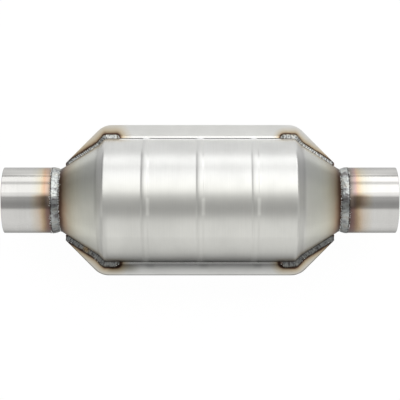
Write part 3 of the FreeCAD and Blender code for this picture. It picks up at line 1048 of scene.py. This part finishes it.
BEAD_ACROSS = 20
BEAD_STEP = 0.3 * MM
BEAD_BEND = 5 * MM
BEAD_ARC = math.radians(97)
BEAD_FLATTENING = 0.12
BEAD_RELIEF = mm(0.30, 0.26, 0.14)
BEAD_GRAIN_SIZE = 0.8 * MM
BEAD_BOW = 0.6
BEAD_TIP_ROUNDING = 2.5 * MM
BEAD_ROOT = 0.9 * MM  # how far it reaches in under the can's skin
BEAD_SINK = 0.2 * MM  # and into the flange
CRATER_PLACE = 2.2 * MM
CRATER_HALF = 1.3 * MM
CRATER_DEPTH = 1.0 * MM
CRATER_TOES = {"left": 0.85, "right": 0.75}
TOE_SLOPES = {"left": (2.5, 1.0), "right": (1.2, 1.05)}  # on the barrel and on the cone
BEAD_PEARL_SHARES = (0.03, 0.06, 0.34, 0.41, 0.88, 0.93, 0.96)  # of the bead's length
BEAD_PEARL_SIZES = mm(0.35, 0.6)


def spaced_path(corners):
    """Evenly spaced points along a bent line, each a (run, place, outward normal), and its length."""
    line = bent_line([(*corner, BEAD_BEND) for corner in corners], BEAD_STEP, BEAD_STEP, math.radians(4))
    runs = [0.0]
    for a, b in zip(line, line[1:]):
        runs.append(runs[-1] + (b - a).length)
    length = runs[-1]
    count = round(length / BEAD_STEP)
    path = []
    k = 0
    for i in range(count + 1):
        run = length * i / count
        while k < len(line) - 2 and runs[k + 1] < run:
            k += 1
        share = (run - runs[k]) / (runs[k + 1] - runs[k])
        tangent = (line[k + 1] - line[k]).normalized()
        path.append((run, line[k].lerp(line[k + 1], share), Vector((-tangent.y, tangent.x))))
    return path, length


def end_cap(run, rounding):
    """How full a bead is at a run from its rounded end."""
    return math.sqrt(max(0.02, 1 - max(0.0, 1 - run / rounding) ** 2))


def bead_section(run, place, normal, length, x_side, y_side, hand):
    """A shield weld's bead at one place along it, and the points inside the can's skin that close it."""
    seed = Vector((run, x_side * 0.2, y_side * 0.3))
    on_cone = min(1.0, max(0.0, (place.x - BARREL_END) / SHOULDER_DROP))
    radius = BEAD_RADII[hand] * (1 - on_cone) + BEAD_CONE_RADII[hand] * on_cone
    caps = min(end_cap(run, BEAD_RADII[hand]), end_cap(length - run, BEAD_TIP_ROUNDING))
    size = radius * caps * (1 + 0.10 * lumps(seed, 6 * MM))
    edge_reach = (CHAMFER_LINES[hand] - place.x - place.y) / max(0.1, normal.x + normal.y)
    crater = math.exp(-((run - CRATER_PLACE) / CRATER_HALF) ** 2)
    barrel_slope, cone_slope = TOE_SLOPES[hand]
    slope = barrel_slope * (1 - on_cone) + cone_slope * on_cone
    wander = RIPPLE_WANDER * lumps(seed, 8.0 * MM)

    def point(out, height):
        """The part's point that far out from the bead's line and over the flange."""
        across = place + normal * out
        return Vector((x_side * across.x, y_side * across.y, FLANGE_TOP + height))

    bead = []
    for j in range(BEAD_ACROSS + 1):
        v = j / BEAD_ACROSS
        angle = v * BEAD_ARC
        bulge = dome(v)
        wave = scallops(run / BEAD_PITCH, v, BEAD_BOW, wander)
        at = Vector((place.x * x_side, place.y * y_side, angle * size)) + seed
        reach = size * (1 - BEAD_FLATTENING * bulge) - crater * CRATER_DEPTH * bulge
        reach += relief(at, wave, bulge, BEAD_RELIEF, BEAD_GRAIN_SIZE)
        body = min(1.0, slope * v + 0.12 * lumps(at, 3.0 * MM), 3.0 * (1 - v))
        toe = body * (1 - (1 - CRATER_TOES[hand]) * crater) * (0.75 + 0.25 * min(1.0, wave + 0.9))
        streak = 0.5 + 0.9 * lumps(Vector((run / 7.0, v * 2.6 * MM, 0.0)) + seed, 1.1 * MM)
        out = min(reach * math.cos(angle), edge_reach)
        bead.append((point(out, reach * math.sin(angle)), toe, streak))
    outer = bead[0][0]
    below_outer = Vector((outer.x, outer.y, FLANGE_TOP - BEAD_SINK))
    return bead, [point(-BEAD_ROOT, size * 0.9), point(-BEAD_ROOT, -BEAD_SINK), below_outer]


def make_corner_weld(name, node, x_side, y_side, hand, metal):
    """One of the four beads between the shield's flange and the can, flush with the flange's edge."""
    path, length = spaced_path(corner_path(BEAD_START))
    bm, layers = weld_mesh()
    rows = [add_section(bm, layers, *bead_section(*step, length, x_side, y_side, hand)) for step in path]
    ring_faces(bm, rows, closed=False)
    bm.faces.new(rows[0])
    bm.faces.new(rows[-1])
    if hand == "right":
        pearls = []
        for share in BEAD_PEARL_SHARES:
            row = rows[round(share * (len(rows) - 1))]
            pearls.append((row[random.randint(4, 8)].co.copy(), random.uniform(*BEAD_PEARL_SIZES)))
        add_balls(bm, layers, pearls, PEARL_STREAK)
    add_piece(name, bm, metal, node)


# The bricks

BRICK_SEGMENTS = 128
SQUARE = ((0, 0), (1, 0), (1, 1), (0, 1))


def cell_grid():
    """Which square cells of the honeycomb lie wholly inside the brick's skin."""
    count = int(BRICK_RADIUS / CELL_PITCH) + 1
    cells = set()
    for row in range(-count, count):
        for column in range(-count, count):
            far = max(math.hypot(row + i, column + k) for i, k in SQUARE) * CELL_PITCH
            if far <= BRICK_RADIUS - BRICK_SKIN:
                cells.add((row, column))
    return cells


def brick_face(bm, x, cells):
    """One face of the honeycomb: the corners of each open channel, and the loop round the rim."""
    inset = CELL_WEB / 2
    knots = {}
    holes = {}
    for row, column in cells:
        outer = []
        inner = []
        for i, k in SQUARE:
            y = (row + i) * CELL_PITCH + (inset if i == 0 else -inset)
            z = (column + k) * CELL_PITCH + (inset if k == 0 else -inset)
            inner.append(bm.verts.new((x, y, AXIS_Z + z)))
        for key in [(row + i, column + k) for i, k in SQUARE]:
            if key not in knots:
                knots[key] = bm.verts.new((x, key[0] * CELL_PITCH, AXIS_Z + key[1] * CELL_PITCH))
            outer.append(knots[key])
        ring_faces(bm, [outer, inner], closed=False)
        holes[(row, column)] = inner
    turns = [2 * math.pi * i / BRICK_SEGMENTS for i in range(BRICK_SEGMENTS)]
    rim = [bm.verts.new(around_axis(x, BRICK_RADIUS, turn)) for turn in turns]
    rim_edges = [bm.edges.new(pair) for pair in zip(rim, rim[1:] + rim[:1])]
    webs = set(knots.values())
    stair = [edge for edge in bm.edges if len(edge.link_faces) == 1 and webs.issuperset(edge.verts)]
    bmesh.ops.triangle_fill(bm, edges=rim_edges + stair, use_beauty=False, use_dissolve=False)
    return holes, rim


def make_brick(name, node, ceramic):
    """A round honeycomb with every channel open from face to face."""
    low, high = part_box(node)
    bm = bmesh.new()
    cells = cell_grid()
    front_holes, front_rim = brick_face(bm, low[0], cells)
    back_holes, back_rim = brick_face(bm, high[0], cells)
    for cell, corners in front_holes.items():
        ring_faces(bm, [corners, back_holes[cell]], closed=False)
    ring_faces(bm, [front_rim, back_rim], closed=False)
    add_piece(name, bm, ceramic, node, smooth=False)


# The studio

# The tent's light: at angles in degrees round the exhaust axis, from straight up towards +Y, and at
# its two ends from -Y to +Y
TENT_LIGHT = [
    (-180, 0.92), (-60, 0.92), (-38, 0.91), (-33, 0.83), (-27.5, 0.40), (-12, 0.37), (-2, 0.45), (8, 0.54),
    (13, 0.97), (17, 1.49), (22, 1.56), (55, 1.56), (60, 0.92), (66, 0.92), (71, 1.58), (100, 1.58),
    (180, 0.9),
]
INLET_END_LIGHT = [
    (0.15, 0.305), (0.28, 0.345), (0.42, 0.292), (0.5, 0.247), (0.62, 0.213), (0.76, 0.143), (0.86, 0.105),
]
OUTLET_END_LIGHT = [
    (0.15, 0.32), (0.28, 0.335), (0.42, 0.28), (0.5, 0.283), (0.62, 0.273), (0.76, 0.212), (0.86, 0.167),
]
INLET_END_STARTS = (0.33, 0.68)
OUTLET_END_STARTS = (0.45, 0.72)
TENT_STRENGTH = 2.0

TABLE_SIZE = 8.0
TABLE_BAND = 4.0
# Painted shade in what reflections see of the table, along y: darkest under the object and beside its -Y
# side
TABLE_LIGHT = [(0.0, 1.0), (0.36, 0.95), (0.44, 0.72), (0.466, 0.6), (0.48, 0.3), (0.5, 0.3), (0.54, 1.0)]
TABLE_STRENGTH = 1.05
PAPER = 0.85

CAMERA_DISTANCE = 1.557
CAMERA_SHIFT_Y = 0.2 * MM
SEEN_WIDTH = 416.2 * MM
SENSOR_WIDTH = 36.0


def set_world():
    """A white tent with a dark slot overhead, where the camera looks in, and greyer ends."""
    world = bpy.data.worlds.new("studio")
    bpy.context.scene.world = world
    s = Shader(world)
    x, y, z = s.place("Generated")
    turn = y.math("ARCTAN2", z) * (180 / math.pi)
    stops = [((angle + 180) / 360, level / TENT_STRENGTH) for angle, level in TENT_LIGHT]
    across = s.ramp(turn / 360.0 + 0.5, stops)
    outlet_gain = 1.0 + x * (0.25 + y * 0.45)
    across = s.times(across, s.vector(outlet_gain, outlet_gain, outlet_gain))
    share = y * 0.5 + 0.5
    ends = s.blend(x.fade(-0.5, 0.5), s.ramp(share, INLET_END_LIGHT), s.ramp(share, OUTLET_END_LIGHT))
    colour = s.blend((-x).fade(*INLET_END_STARTS) + x.fade(*OUTLET_END_STARTS), across, ends)
    light = s.add("Background", {"Color": colour, "Strength": TENT_STRENGTH})
    sky = s.add("Background", {"Color": full_colour(1.0), "Strength": 1.0})
    rays = s.add("LightPath")
    s.add("OutputWorld", {"Surface": s.mix(rays.outputs["Is Camera Ray"], light, sky)})


def make_table():
    """A white table that the camera sees as paper white, with the object's shadow kept on it; reflections
    see it glow, with painted shade round the object.
    """
    bpy.ops.mesh.primitive_plane_add(size=TABLE_SIZE)
    table = bpy.context.object
    table.name = "table"
    s = new_shader("table_white")
    x, y, _ = s.place()
    rays = s.add("LightPath")
    to_camera = s.value(rays, "Is Camera Ray")
    # Painted shade in reflections of the table: darker past the object's ends on +Y
    past_the_ends = x.abs().fade(0.2, 0.32) * y.fade(0.06, 0.18)
    mirrored = s.blend(past_the_ends * 0.7, s.ramp(y / TABLE_BAND + 0.5, TABLE_LIGHT), 0.0)
    colour = s.blend(to_camera, mirrored, 1.0)
    white = s.add("Emission", {"Color": colour, "Strength": TABLE_STRENGTH})
    paper = s.add("BsdfDiffuse", {"Color": full_colour(PAPER)})
    seen = to_camera * 0.9 + s.value(rays, "Is Glossy Ray") * 0.7
    s.add("OutputMaterial", {"Surface": s.mix(seen, paper, white)})
    table.data.materials.append(s.owner)


def set_camera():
    """Straight above the can, 1.56 m from its axis, with 416 mm of it across the picture."""
    data = bpy.data.cameras.new("camera")
    data.sensor_width = SENSOR_WIDTH
    data.lens = SENSOR_WIDTH * CAMERA_DISTANCE / SEEN_WIDTH
    camera = bpy.data.objects.new("camera", data)
    bpy.context.scene.collection.objects.link(camera)
    camera.location = (0.0, CAMERA_SHIFT_Y, AXIS_Z + CAMERA_DISTANCE)
    bpy.context.scene.camera = camera


def make_pieces():
    """All the pieces that replace nodes of the part."""
    pipe_steel = turned_steel("pipe_steel", **PIPE_FINISH)
    ring_metal = weld_steel("ring_weld_metal", RING_SIDE_SHADE)
    bead_metal = weld_steel("corner_weld_metal", BEAD_SIDE_SHADE)
    ceramic = coated_ceramic("washcoated_ceramic")
    make_can(turned_steel("spun_can_steel", **CAN_FINISH))
    for side, end in ((-1, "inlet"), (1, "outlet")):
        make_pipe(end + "_stub", end + "_pipe", side, pipe_steel)
        make_ring_weld(end + "_ring_weld", end + "_pipe_weld", side, ring_metal)
        for y_side, hand in ((1, "left"), (-1, "right")):
            node = f"shield_weld_{end}_{hand}"
            make_corner_weld(f"{end}_{hand}_bead", node, side, y_side, hand, bead_metal)
    for name in ("front", "rear"):
        make_brick(name + "_honeycomb", name + "_brick", ceramic)


def finish_kept_nodes():
    """Materials for the nodes that keep the part's own shape."""
    finishes = {
        "shield": pressed_steel("shield_steel"),
        "mat": fibre_mat("fibre_mat"),
        "seal": knitted_wire("knitted_wire"),
    }
    for name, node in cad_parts.items():
        for slot in node.material_slots:
            slot.material = finishes.get(name.split("_")[-1], slot.material)


def main():
    bpy.context.scene.view_settings.view_transform = "Standard"
    set_camera()
    set_world()
    make_table()
    make_pieces()
    finish_kept_nodes()


main()
